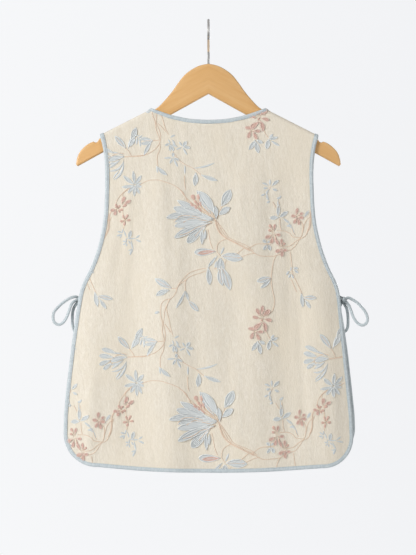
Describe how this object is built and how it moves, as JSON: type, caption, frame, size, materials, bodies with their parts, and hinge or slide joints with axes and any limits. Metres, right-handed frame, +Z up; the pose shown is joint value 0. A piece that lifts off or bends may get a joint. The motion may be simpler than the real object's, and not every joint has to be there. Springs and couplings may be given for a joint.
{
  "type": "embroidered waistcoat on a clothes hanger",
  "caption": "Sleeveless embroidered waistcoat with bound edges and bows at its open sides, hung on a wooden hanger with a turning hook.",
  "frame": {"origin": "on the inside of the top of the hanger's hook, where a rail carries it", "axes": "+Z up, +Y towards the two fronts of the waistcoat, so the back panel faces -Y, and +X towards the wearer's right"},
  "size_m": [0.5253, 0.0502, 0.7507],
  "materials": {
    "cream_cloth": "slubby cream crepe with raised embroidery in pale blue, rose and peach",
    "blue_tape": "pale grey-blue bias tape, edge-stitched",
    "beech": "honey-coloured satin lacquer",
    "steel_wire": "bright plated wire"
  },
  "bodies": {
    "hook": {"hanger_hook": "steel_wire"},
    "waistcoat": {"back_panel": "cream_cloth", "front_panel_left": "cream_cloth", "front_panel_right": "cream_cloth", "back_edge_binding": "blue_tape", "back_neck_binding": "blue_tape", "front_binding_left": "blue_tape", "front_binding_right": "blue_tape", "knot_left": "blue_tape", "knot_right": "blue_tape", "back_tie_loop_left": "blue_tape", "front_tie_loop_left": "blue_tape", "back_tie_tail_left": "blue_tape", "front_tie_tail_left": "blue_tape", "back_tie_loop_right": "blue_tape", "front_tie_loop_right": "blue_tape", "back_tie_tail_right": "blue_tape", "front_tie_tail_right": "blue_tape", "hanger_body": "beech"}
  },
  "joints": [
    {"name": "hook_swivel", "type": "hinge", "parent": "hook", "child": "waistcoat", "pos_m": [0, 0, -0.0707], "axis": [0, 0, 1], "continuous": true}
  ]
}
